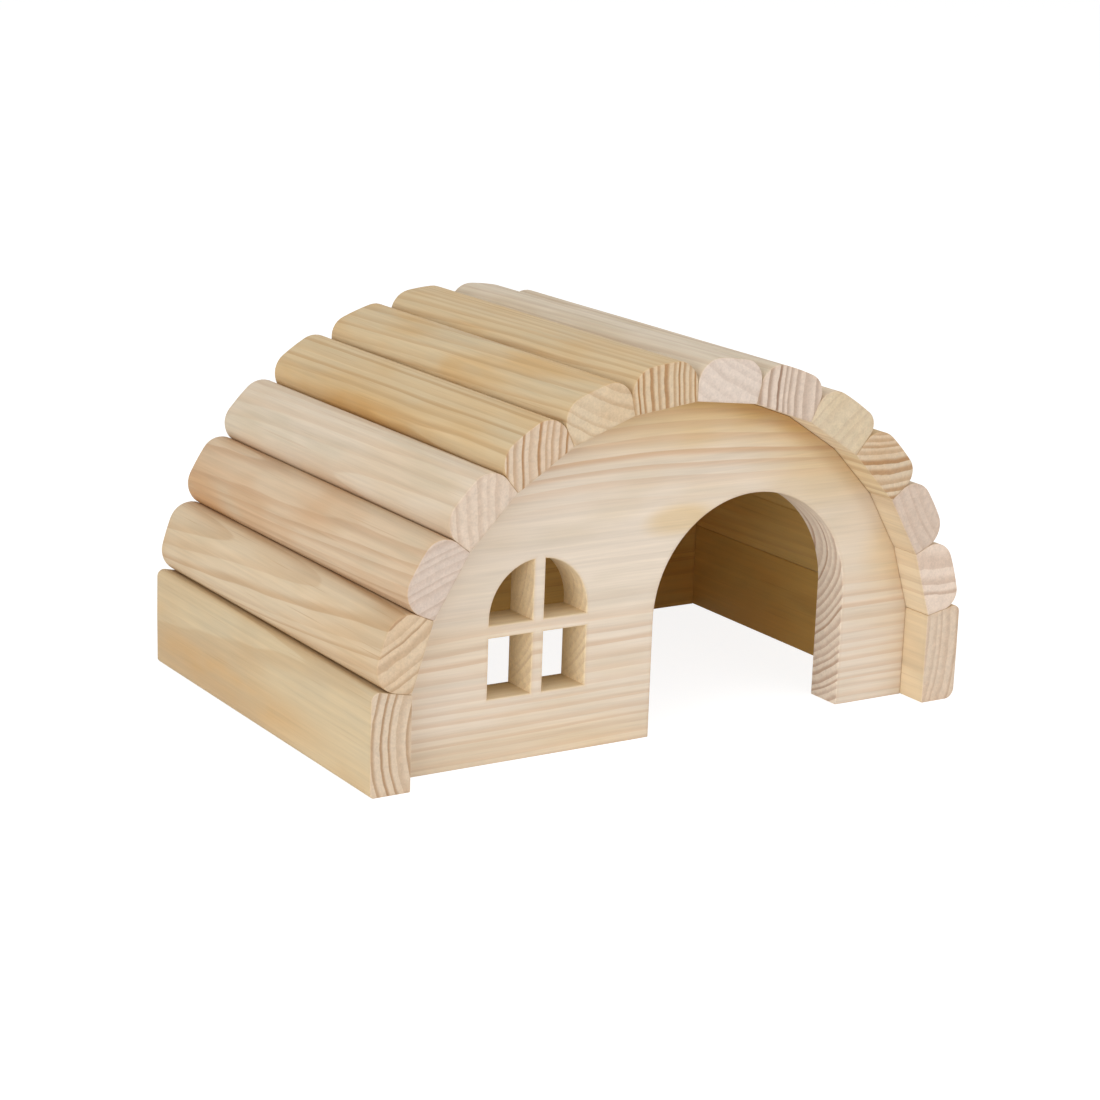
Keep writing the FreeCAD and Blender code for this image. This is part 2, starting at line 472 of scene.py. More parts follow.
@dataclass(frozen=True)
class PineFinish:
    """One pine board, with its growth rings running right through it.

    The rings are shells around the pith of the tree, which runs along the grain somewhere beside
    the board, so the long lines on the faces and the curved lines on the ends agree.
    Lengths are in millimetres; the pith is a point across the grain: (x, z) where the grain
    runs along Y, and (y, z) where it runs along X.
    """

    name: str
    wood: Wood
    grain: Grain
    pith: Point
    seed: float
    inner: tuple[float, float, float]  # the direction that the board's inner face looks in
    room: Point = (-51.4, 52.8)  # the y from and up to which an inner face lies indoors, in painted shade

    def material(self) -> bpy.types.Material:
        """Builds the finish.

        Returns:
            The material.
        """
        material, sheet = new_material(self.name)
        wood = self.wood
        early, late, drift, late_end = [paint(code) for code in wood.tone.value]

        x, y, z = sheet.parts(sheet.place(1000.0))
        normal = sheet.add("ShaderNodeNewGeometry", output="Normal")
        facing = sheet.parts(normal)
        if self.grain is Grain.ALONG_X:
            along, across, end_on = x, y, facing[0]
        else:
            along, across, end_on = y, x, facing[1]
        end = sheet.step(abs(end_on), 0.45, 0.9)

        spot = Spot(sheet, along, across, z, self.seed)
        line = self.rings(spot)
        fibres = spot.noise(Figure.FIBRES) - 0.5
        streaks = spot.noise(Figure.STREAKS) - 0.5
        canal = sheet.step(spot.noise(Figure.CANALS), 0.72, 0.84)
        cool_cloud = sheet.step(spot.noise(Figure.COOL_CLOUDS), 0.46, 0.72)

        within = sheet.step(sheet.dot(normal, self.inner), 0.2, 0.6)
        deep = (sheet.step(y, self.room[0], self.room[0] + 6.0)
                * (1.0 - sheet.step(y, self.room[1], self.room[1] + 6.0)))
        # saw browning, with painted shade towards the back of an opening's sides
        scorch = sheet.mark(SCORCH_AND_SHADE)
        contrast = self.contrast(spot, end) * (1.0 - scorch * 0.9)

        colour = sheet.blend(self.warmth(spot), early, drift)
        # painted light: inner faces outside the walls, under the eaves, made paler
        colour = Stain.PAINTED_EAVES_LIGHT.over(colour, within * (1.0 - deep) * 0.6)
        colour = Stain.COOL.over(colour, cool_cloud * wood.cool)
        colour = sheet.blend(end * wood.end_pale, colour, paint(wood.end_tint))
        colour = sheet.blend(line * contrast, colour, sheet.blend(end, late, late_end))
        colour = sheet.scaled(colour, 1.0 + streaks * 0.32 + fibres * (0.18 + end * 0.12))
        colour = Stain.CANAL.over(colour, canal * (1.0 - end) * wood.flecks)
        # painted shade along the wall's corner under the roof's overhang
        if wood.seam is not None:
            colour = Stain.PAINTED_SEAM_SHADE.over(colour, wood.seam.shade(spot) * (1.0 - within))
        # painted shade: inner faces inside the room made warmer and darker
        colour = Stain.PAINTED_INDOOR_SHADE.over(colour, within * deep)
        colour = Stain.HANDLED.over(colour, sheet.mark(EDGE) * 0.10)
        # dust and painted shade on the slats' sides, down in the grooves
        colour = Stain.DUST_AND_SHADE.over(colour, sheet.mark(GROOVE) * (1.0 - end) * 0.45)
        colour = Stain.SAW_AND_SHADE.over(colour, scorch)

        roughness = 0.66 - line * 0.10 + fibres * 0.12 + end * 0.08
        height = fibres * (0.05 + end * 0.06) + line * 0.03 + streaks * 0.05
        sheet.wood(colour, roughness, sheet.bump(height, 0.8))
        return material

    def contrast(self, spot: Spot, end: Value) -> Value:
        """How strongly the late wood shows.

        Args:
            spot: The spot.
            end: 1 on the ends of the board, 0 on its faces.

        Returns:
            The strength, from 0 to 1.
        """
        wood, step = self.wood, spot.sheet.step
        face: Number = wood.face_contrast
        if wood.calm:
            face = face * step(abs(spot.z - self.pith[1]), wood.calm * 0.4, wood.calm)
        if wood.foot_share < 1.0:
            foot = 1.0 - wood.foot_share
            face = face * (step(spot.z, 15.0, 58.0) * foot + wood.foot_share)
        return face + end * (wood.end_contrast - face)

    def warmth(self, spot: Spot) -> Value:
        """How warm the wood is: soft clouds, and the board's own patches.

        Args:
            spot: The spot.

        Returns:
            The warmth, from 0 to 1.
        """
        cloud = spot.noise(Figure.WARM_CLOUDS)
        total = spot.sheet.step(cloud, 0.42, 0.72) * self.wood.clouds
        for patch in self.wood.patches:
            total = total + patch.shade(spot, cloud)
        return spot.sheet.clamp(total, 0.0, 1.0)

    def rings(self, spot: Spot) -> Value:
        """The growth rings.

        Args:
            spot: The spot.

        Returns:
            How dark the late wood is, from 0 to 1.
        """
        sheet, along, across, z = spot.sheet, spot.along, spot.across, spot.z
        tilt, wander = self.wood.tilt, 2.0 * self.wood.wander
        place = sheet.vector(along * 0.013 + self.seed, across * 0.024, z * 0.024)
        bend_a, bend_b, _ = sheet.parts(sheet.noise(place, 1.0, output="Color"))
        side = across - self.pith[0] + along * tilt[0] + (bend_a - 0.5) * wander
        up = (z - self.pith[1] + along * tilt[1] + (bend_b - 0.5) * wander
              + along * along * sheet.step(z, 50.0, 90.0) * (self.wood.bow / 1000.0))
        radius = sheet.far(side, up)
        ripple = spot.noise(Figure.RIPPLES) - 0.5
        pace = sheet.add("ShaderNodeTexNoise", {"noise_dimensions": "1D"},
                         {"W": radius * 0.11 + self.seed, "Scale": 1.0, "Detail": 1.0})
        count = radius / self.wood.ring_step + pace * 1.6 + ripple * 0.35
        turn = sheet.maths("FRACT", count)
        luck = sheet.add("ShaderNodeTexWhiteNoise", {"noise_dimensions": "1D"},
                         {"W": sheet.maths("FLOOR", count) + self.seed})
        winter = 0.93               # the late wood is darkest up to here, and ends at 1
        full = winter - self.wood.late_share
        rise = sheet.step(turn, (full - 0.10) * (0.15 + luck * 0.55), full)
        fall = sheet.step(turn, winter, 1.0)
        return rise * (1.0 - fall) * (0.35 + luck * 0.65)


@dataclass(frozen=True)
class BeechFinish:
    """Turned and fluted beech of the dowels: close grain with short dark rays."""

    name: str = "beech_dowel"

    def material(self) -> bpy.types.Material:
        """Builds the finish.

        Returns:
            The material.
        """
        material, sheet = new_material(self.name)
        fine = sheet.noise(sheet.place(2200.0), 3.0, 0.6)
        broad = sheet.noise(sheet.place(160.0), 1.0)
        rays = sheet.step(fine, 0.60, 0.70)
        colour = sheet.blend(broad, paint("dcb78c"), paint("cfa277"))
        colour = sheet.blend(rays * 0.5, colour, paint("a8764d"))
        sheet.wood(colour, 0.55 + fine * 0.15, sheet.bump(fine * 0.04, 0.6))
        return material


# --------------------------------------------------------------------------- the arch's rule


@dataclass(frozen=True)
class Arch:
    """The circle that every slat and both walls follow. Millimetres."""

    width: float = 190.0
    height: float = 106.0
    length: float = 130.0
    thickness: float = 11.8
    gap: float = 0.02
    slats: int = 12
    base_height: float = 28.2
    front_overhang: float = 9.6
    back_overhang: float = 4.4
    wall_thickness: float = 11.8

    @property
    def radius(self) -> float:
        """Radius of the circle through the ridge and both shoulders."""
        rise = self.height - self.base_height
        return ((self.width / 2) ** 2 + rise ** 2) / (2 * rise)

    @property
    def centre_z(self) -> float:
        """Height of the circle's centre."""
        return self.height - self.radius

    @property
    def half_angle(self) -> float:
        """From the ridge to a shoulder."""
        return math.atan2(self.width / 2, self.base_height - self.centre_z)

    @property
    def slat_angle(self) -> float:
        """The share of the circle that one slat covers."""
        return 2 * self.half_angle / self.slats

    @property
    def outer_distance(self) -> float:
        """From the circle's centre to a slat's outer face."""
        return self.radius * math.cos(self.slat_angle / 2)

    @property
    def inner_distance(self) -> float:
        """From the circle's centre to a slat's inner face."""
        return self.outer_distance - self.thickness

    @property
    def wall_half_width(self) -> float:
        """From the middle to the inner face of a base slat."""
        return self.width / 2 - self.thickness

    @property
    def front_wall_y(self) -> float:
        """Front face of the front wall."""
        return -self.length / 2 + self.front_overhang

    @property
    def back_wall_y(self) -> float:
        """Inner face of the back wall."""
        return self.length / 2 - self.back_overhang - self.wall_thickness

    @property
    def room(self) -> Point:
        """The y from and up to which the slats' inner faces lie indoors, inside both walls."""
        return self.front_wall_y + 4.0, self.back_wall_y + 4.0

    def lean(self, index: int) -> float:
        """How far an arch slat leans from upright, counted from 0 at the left."""
        return -self.half_angle + (index + 0.5) * self.slat_angle

    def point(self, distance: float, angle: float) -> Point:
        """The (x, z) of a point at a distance from the circle's centre."""
        return distance * math.sin(angle), self.centre_z + distance * math.cos(angle)


# --------------------------------------------------------------------------- slats


@dataclass
class SlatTree:
    """Geometry Nodes that cut one slat: a four-cornered section drawn along its length.

    The outer face is a little crowned, the two outer corners are rounded over, and both ends
    have a small sanded edge. The ends are shaped ring by ring, so the number of rings along an
    end is fixed here.
    """

    crest_radius: float = 0.075  # rounds over the ridge of the crown, in metres
    arc_points: int = 9
    rings: int = 34
    end_rings: int = 4
    end_margin: float = 1.2     # the last ring before a sanded edge, in millimetres
    cap_shrink: float = 0.12    # how much smaller the ring in the middle of an end is
    waves: Point = (28.0, 40.0)  # cells of unevenness in a metre, along a slat and across it
    numbers: tuple[str, ...] = (  # the tree's number inputs; lengths are in metres
        "Outer Width", "Inner Width", "Outer Shift", "Thickness", "Crown", "First Radius",
        "Second Radius", "Inner Radius", "Front", "Back", "Sanded Edge", "Unevenness",
        "Groove Dust And Shade", "Seed", "Lean")
    tree: bpy.types.NodeTree = field(init=False)
    sheet: Sheet = field(init=False)
    given: dict[str, Value] = field(init=False)
    sockets: dict[str, str] = field(init=False, default_factory=dict)

    def __post_init__(self) -> None:
        """Builds the tree."""
        self.tree = bpy.data.node_groups.new("slat_section_along_length", "GeometryNodeTree")
        self.sheet = Sheet(self.tree)
        kinds = dict.fromkeys(self.numbers, "Float") | {"Seat": "Vector", "Finish": "Material"}
        for name, kind in kinds.items():
            item = self.tree.interface.new_socket(
                name=name, in_out="INPUT", socket_type=f"NodeSocket{kind}")
            self.sockets[name] = item.identifier
        self.tree.interface.new_socket(
            name="Geometry", in_out="OUTPUT", socket_type="NodeSocketGeometry")
        inputs = self.sheet.add("NodeGroupInput")
        self.given = {name: inputs.output(name) for name in kinds}
        self.write()

    def write(self) -> None:
        """Writes the nodes."""
        sheet, given = self.sheet, self.given
        section = self.section()
        last = self.rings - 1
        rail = sheet.add("GeometryNodeCurvePrimitiveLine", None,
                         {"Start": (0, 0, 0), "End": (0, 0, float(last))})
        rail = sheet.add("GeometryNodeResampleCurve", None, {"Curve": rail, "Count": self.rings})
        ring = sheet.add("GeometryNodeInputIndex")
        rail = sheet.add("GeometryNodeCaptureAttribute", {"captures": [("FLOAT", "Ring")]},
                         {"Geometry": rail, "Ring": ring})
        ring = rail.output("Ring")
        body = sheet.add("GeometryNodeCurveToMesh", None,
                         {"Curve": rail, "Profile Curve": section.output("Geometry"),
                          "Fill Caps": True})
        place, inset, edge, cap = self.end_rounding(ring)
        sx, _, sz = sheet.parts(section.output("Place"))
        nx, _, nz = sheet.parts(section.output("Outward"))
        slow, quick = self.waves
        wave = sheet.noise(
            sheet.vector(place * slow + given["Seed"], sx * quick, sz * quick), 1.0)
        side = sheet.step(abs(nx), 0.92, 0.985)
        # dust and painted shade down the sides of a slat, in the grooves
        dust_and_shade = sheet.step(abs(nx), 0.80, 0.985) * given["Groove Dust And Shade"]
        swell = (side - 1.0) * wave * given["Unevenness"] - inset
        shrink = 1.0 - cap * self.cap_shrink
        middle = given["Thickness"] * 0.5
        body = sheet.add("GeometryNodeSetPosition", None, {
            "Geometry": body,
            "Position": sheet.vector((sx + nx * swell) * shrink, place,
                                     middle + (sz + nz * swell - middle) * shrink)})
        for name, mark in ((EDGE, edge), (GROOVE, dust_and_shade)):
            body = sheet.add("GeometryNodeStoreNamedAttribute",
                             {"data_type": "FLOAT", "domain": "POINT"},
                             {"Geometry": body, "Name": name, "Value": mark})
        body = sheet.add("GeometryNodeTransform", None, {
            "Geometry": body, "Rotation": sheet.vector(0.0, given["Lean"], 0.0),
            "Translation": given["Seat"]})
        body = sheet.add("GeometryNodeRealizeInstances", None, {"Geometry": body})
        body = sheet.add("GeometryNodeSetMaterial", None,
                         {"Geometry": body, "Material": given["Finish"]})
        sheet.add("NodeGroupOutput", None, {"Geometry": body})

    def section(self) -> Value:
        """The rounded section, upright in XZ with its inner face on z = 0.

        Returns:
            A node whose outputs are the section's curve as Geometry, each point's Place, and
            the direction Outward that faces out of the wood there.
        """
        sheet, given = self.sheet, self.given
        outer = given["Outer Width"] * 0.5
        inner = given["Inner Width"] * 0.5
        shift = given["Outer Shift"]
        shoulder = given["Thickness"] - given["Crown"] * 0.5
        curve = sheet.add("GeometryNodeCurvePrimitiveQuadrilateral", {"mode": "POINTS"}, {
            "Point 1": sheet.vector(0.0 - inner, 0.0, 0.0),
            "Point 2": sheet.vector(shift - outer, shoulder, 0.0),
            "Point 3": sheet.vector(shift + outer, shoulder, 0.0),
            "Point 4": sheet.vector(inner, 0.0, 0.0)})
        index = sheet.add("GeometryNodeInputIndex")
        first, crest, second = [(index > n - 0.5) * (index < n + 0.5) for n in (1, 2, 3)]
        curve = sheet.add("GeometryNodeSubdivideCurve", None, {"Curve": curve, "Cuts": first})
        curve = sheet.add("GeometryNodeSetPosition", None, {
            "Geometry": curve, "Offset": sheet.vector(0.0, crest * given["Crown"], 0.0)})
        radius = (first * given["First Radius"] + second * given["Second Radius"]
                  + crest * self.crest_radius
                  + (1.0 - first - crest - second) * given["Inner Radius"])
        curve = sheet.add("GeometryNodeFilletCurve", {"mode": "POLY"}, {
            "Curve": curve, "Count": self.arc_points, "Radius": radius, "Limit Radius": True})
        tx, ty, _ = sheet.parts(sheet.add("GeometryNodeInputTangent"))
        px, py, _ = sheet.parts(sheet.add("GeometryNodeInputPosition"))
        return sheet.add("GeometryNodeCaptureAttribute",
                         {"captures": [("VECTOR", "Place"), ("VECTOR", "Outward")]},
                         {"Geometry": curve, "Place": sheet.vector(px, 0.0, py),
                          "Outward": sheet.vector(0.0 - ty, 0.0, tx)})

    def end_rounding(self, ring: Value) -> tuple[Value, Value, Value, Value]:
        """Where each ring of the slat lies, from the middle of one end to the other.

        Args:
            ring: The number of the ring.

        Returns:
            Its y, how far it is drawn in, 1 where it is on a sanded edge, and 1 where it lies
            on the end face inside that edge.
        """
        sheet, given = self.sheet, self.given
        radius = given["Sanded Edge"]
        margin = mm(self.end_margin)
        steps = float(self.end_rings - 1)
        last = float(self.rings - 1)

        def one_end(number: Value) -> tuple[Value, Value, Value]:
            """Shapes one end.

            Args:
                number: The number of the ring, counted from that end.

            Returns:
                Its depth from the end, how far it is drawn in, and 1 on the sanded edge.
            """
            turn = sheet.clamp(number - 1.0, 0.0, steps) * (math.pi / 2 / steps)
            support = number > steps + 1.5
            depth = radius * (1.0 - sheet.maths("COSINE", turn)) + support * margin
            draw = radius * (1.0 - sheet.maths("SINE", turn))
            return depth, draw, (number > 0.5) * (number < steps + 1.5)

        front_depth, front_draw, front_edge = one_end(ring)
        back_depth, back_draw, back_edge = one_end(last - ring)
        reach = radius + margin
        share = sheet.clamp((ring - (steps + 2.0)) / (last - 2.0 * (steps + 2.0)), 0.0, 1.0)
        run = given["Back"] - given["Front"] - reach * 2.0
        place = given["Front"] + front_depth + share * run + reach - back_depth
        cap = (ring < 0.5) + (ring > last - 0.5)
        return place, front_draw + back_draw, front_edge + back_edge, cap

    def cut(self, name: str, sizes: dict[str, Any]) -> bpy.types.Object:
        """Cuts one slat.

        Args:
            name: The piece's name.
            sizes: Values of the tree's inputs.

        Returns:
            The slat as a plain mesh at the origin.
        """
        blank = put_in_scene(name + "_blank", bpy.data.meshes.new(name + "_blank"))
        modifier = blank.modifiers.new("slat", "NODES")
        modifier.node_group = self.tree
        for socket, given in sizes.items():
            modifier[self.sockets[socket]] = given
        graph = bpy.context.evaluated_depsgraph_get()
        mesh = bpy.data.meshes.new_from_object(blank.evaluated_get(graph), depsgraph=graph)
        blank.modifiers.remove(modifier)
        bpy.data.objects.remove(blank)
        mesh.name = name
        smooth(mesh)
        return put_in_scene(name, mesh)


@dataclass(frozen=True)
class Seat:
    """Where a slat lies: the middle of its inner face in XZ (mm), and its lean from upright."""

    x: float
    z: float
    lean: float                 # radians, clockwise from the front


@dataclass(frozen=True)
class Plank:
    """One slat: its wood, and small faults in its cut. Degrees and millimetres."""

    pith_turn: float            # from straight up to the pith, clockwise from the front
    pith_distance: float        # from the inner face to the pith
    wood: Wood
    corners: Point = (6.0, 6.0)  # the radii of its two outer corners, from the left
    proud: float = 0.0          # how much thicker it is than its neighbours
    back_short: float = 0.0     # how far its back end stays behind theirs

    def finish(self, node: str, seed: float, corner: Point, lean: float,
               arch: Arch) -> PineFinish:
        """The finish of one slat.

        Args:
            node: The name of the solid it stands for.
            seed: Sets its noises apart from the others.
            corner: The (x, z) that the pith is counted from, in the middle of the inner face.
            lean: How far the slat leans from upright.
            arch: The arch it belongs to.

        Returns:
            The finish.
        """
        turn = math.radians(self.pith_turn)
        pith = (corner[0] + self.pith_distance * math.sin(turn),
                corner[1] + self.pith_distance * math.cos(turn))
        inner = (-math.sin(lean), 0.0, -math.cos(lean))
        return PineFinish("pine_" + node, self.wood, Grain.ALONG_Y, pith, seed, inner, arch.room)


@dataclass
class Slats:
    """What all slats share: their arch, the tree that cuts them and their sanding (mm)."""

    arch: Arch
    cutter: SlatTree
    inner_radius: float = 0.36
    sanded_edge: float = 0.28
    unevenness: float = 0.08

    def board(self, node: str, plank: Plank, finish: PineFinish, seat: Seat,
              section: dict[str, float], dust_and_shade: float, seed: float) -> bpy.types.Object:
        """Cuts and dresses one slat.

        Args:
            node: The name of the solid it stands for.
            plank: Its wood.
            finish: The finish of that wood.
            seat: Where it lies.
            section: The sizes of its section, by the names of the tree's inputs. Millimetres.
            dust_and_shade: How brown dust and painted shade make its sides, from 0 to 1.
            seed: Sets its unevenness apart from the others'.

        Returns:
            The slat.
        """
        half = self.arch.length / 2
        lengths = {
            **section,
            "Inner Radius": self.inner_radius,
            "Front": -half,
            "Back": half - plank.back_short,
            "Sanded Edge": self.sanded_edge,
            "Unevenness": self.unevenness,
        }
        piece = self.cutter.cut(node + "_board", {
            **{name: mm(length) for name, length in lengths.items()},
            "Groove Dust And Shade": dust_and_shade,
            "Seed": seed,
            "Lean": seat.lean,
            "Seat": (mm(seat.x), 0.0, mm(seat.z)),
            "Finish": finish.material(),
        })
        return settle(piece, node)


@dataclass
class RoofSlats(Slats):
    """The twelve slats of the arch, from the left."""

    crown: float = 0.6
    dust_and_shade: float = 0.8           # how brown dust and painted shade make the grooves at the foot of the arch
    unmarked_lean: float = 30.0    # the lean, in degrees, up to which the grooves have neither
    planks: tuple[Plank, ...] = (
        Plank(-40, 60, Wood(Tone.STRAW, 3.0, 0.60, 0.72, 0.45, "e3caae", tilt=(0.03, 0.10),
                            flecks=0.35), corners=(6.8, 6.8), proud=0.4),
        Plank(165, 70, Wood(Tone.BLUSH, 2.6, 0.54, 0.30, 0.80, "dbcabf", tilt=(0.02, 0.05),
                            patches=(WarmPatch(60, 40, 26, 0.9, 1.4),)), corners=(7.2, 6.3)),
        Plank(85, 80, Wood(Tone.CREAM, 3.0, 0.42, 0.40, 0.60, tilt=(0.03, 0.02), clouds=0.3),
              corners=(6.4, 6.9), proud=0.2),
        Plank(88, 60, Wood(Tone.HONEY, 2.2, 0.54, 0.85, 0.60, late_share=0.12,
                           tilt=(0.01, 0.03), patches=(WarmPatch(20, 82, 9, 0.6, 8.0),)),
              corners=(6.5, 6.9), back_short=0.8),
        Plank(20, 60, Wood(Tone.HONEY, 3.2, 0.42, 0.32, 0.60, "e0cbb0", clouds=0.7),
              proud=-0.4, back_short=1.4),
        Plank(82, 70, Wood(Tone.HONEY, 2.0, 0.38, 0.92, 0.30, late_share=0.18, clouds=0.4),
              corners=(7.8, 6.6), back_short=0.6),
        Plank(30, 70, Wood(Tone.SILVER, 3.2, 0.42, 0.20, 0.80, "e6d5c9"), corners=(7.6, 6.0)),
        Plank(90, 60, Wood(Tone.SILVER, 2.7, 0.48, 0.90, 0.85, late_share=0.14),
              corners=(6.2, 5.5), proud=0.5),
        Plank(140, 70, Wood(Tone.CREAM, 3.4, 0.42, 0.20, 0.60, "d9c5a2"), corners=(6.4, 4.4),
              proud=0.2),
        Plank(2, 75, Wood(Tone.HONEY, 2.3, 0.54, 1.00, 0.40, late_share=0.22),
              corners=(6.9, 5.1)),
        Plank(60, 70, Wood(Tone.CREAM, 3.3, 0.42, 0.20, 0.70, "d4bdae"), corners=(7.0, 6.3)),
        Plank(5, 60, Wood(Tone.CREAM, 5.5, 0.42, 0.60, 0.85, "efdac9"), corners=(6.9, 5.1)),
    )

    def build(self) -> list[bpy.types.Object]:
        """Cuts and dresses the slats."""
        return [self.slat(index, plank) for index, plank in enumerate(self.planks)]

    def slat(self, index: int, plank: Plank) -> bpy.types.Object:
        """Cuts and dresses one slat.

        Args:
            index: The slat's place, 0 at the left.
            plank: Its wood.

        Returns:
            The slat.
        """
        node = f"roof_slat_{index + 1:02d}"
        lean = self.arch.lean(index)
        half = self.arch.slat_angle / 2
        inset = self.arch.gap / math.cos(half)
        outer = self.arch.outer_distance + plank.proud
        x, z = self.arch.point(self.arch.inner_distance, lean)
        # dust and painted shade in the grooves, from none near the ridge to most at the foot
        unmarked = math.radians(self.unmarked_lean)
        dust_and_shade = self.dust_and_shade * max(0.0, (abs(lean) - unmarked) / (self.arch.half_angle - unmarked))
        finish = plank.finish(node, 3.7 * index + 1.3, (x, z), lean, self.arch)
        section = {
            "Outer Width": 2 * outer * math.tan(half) - inset,
            "Inner Width": 2 * self.arch.inner_distance * math.tan(half) - inset,
            "Outer Shift": 0.0,
            "Thickness": self.arch.thickness + plank.proud,
            "Crown": self.crown,
            "First Radius": plank.corners[0],
            "Second Radius": plank.corners[1],
        }
        return self.board(node, plank, finish, Seat(x, z, lean), section, dust_and_shade, 11.0 * index)


@dataclass
class BaseSlats(Slats):
    """The upright slats on the floor at both sides, bevelled on top to meet the arch."""

    crown: float = 0.12
    # how brown dust and painted shade make its sides
    dust_and_shade: float = 0.25
    top_radius: float = 2.0
    left_foot_radius: float = 1.2
    right_foot_radius: float = 3.0
    left: Plank = Plank(96, 34, Wood(Tone.OLIVE, 2.6, 0.32, 0.72, 0.55, late_share=0.10,
                                     tilt=(-0.02, 0.05), clouds=0.35,
                                     patches=(WarmPatch(20, 7, 9, 0.6, 8.0),)))
    right: Plank = Plank(-86, 60, Wood(Tone.STRAW, 2.6, 0.40, 0.45, 0.60))

    def build(self) -> list[bpy.types.Object]:
        """Cuts and dresses both slats."""
        return [self.slat("left_base_slat", -1, self.left),
                self.slat("right_base_slat", 1, self.right)]

    def slat(self, node: str, side: int, plank: Plank) -> bpy.types.Object:
        """Cuts and dresses one slat.

        The section lies on its side: its top edge is the second corner at the left of the
        house, and the first at the right.

        Args:
            node: The name of the solid it stands for.
            side: -1 at the left of the house, 1 at the right.
            plank: Its wood.

        Returns:
            The slat.
        """
        arch = self.arch
        outer_top = arch.base_height - arch.gap / 2 / math.sin(arch.half_angle)
        inner_top = outer_top - arch.thickness / math.tan(arch.half_angle)
        seat = Seat(side * arch.wall_half_width, inner_top / 2, side * math.pi / 2)
        finish = plank.finish(node, 50.0 + 7.3 * side, (seat.x, arch.base_height / 2),
                              seat.lean, arch)
        first, second = self.top_radius, self.right_foot_radius
        if side < 0:
            first, second = self.left_foot_radius, self.top_radius
        section = {
            "Outer Width": outer_top,
            "Inner Width": inner_top,
            "Outer Shift": -side * (outer_top - inner_top) / 2,
            "Thickness": arch.thickness - self.crown / 2,
            "Crown": self.crown,
            "First Radius": first,
            "Second Radius": second,
        }
        return self.board(node, plank, finish, seat, section, self.dust_and_shade, 200.0 + side)


# --------------------------------------------------------------------------- walls


@dataclass(frozen=True)
class Outline:
    """A closed edge of a board, with the wood on the left of each side. Millimetres."""

    points: tuple[Point, ...]
    radii: tuple[float, ...]    # the sanded radius at each point
    scorch: float = 0.0         # how brown the saw has left the cut, with painted shade towards the back


def drawn_in(loop: Sequence[Point], amounts: Sequence[float]) -> list[Point]:
    """Moves the points of a closed outline inwards, into the wood.

    Args:
        loop: The outline's points, with the wood on the left of each side.
        amounts: How far the two sides at each point move.

    Returns:
        As many points, on the moved sides.
    """
    moved = []
    for i, (here, amount) in enumerate(zip(loop, amounts)):
        before = Vector(here) - Vector(loop[i - 1])
        after = Vector(loop[(i + 1) % len(loop)]) - Vector(here)
        first = Vector((-before.y, before.x)).normalized()
        second = Vector((-after.y, after.x)).normalized()
        mitre = (first + second) / (1.0 + first.dot(second))
        moved.append((here[0] + mitre.x * amount, here[1] + mitre.y * amount))
    return moved


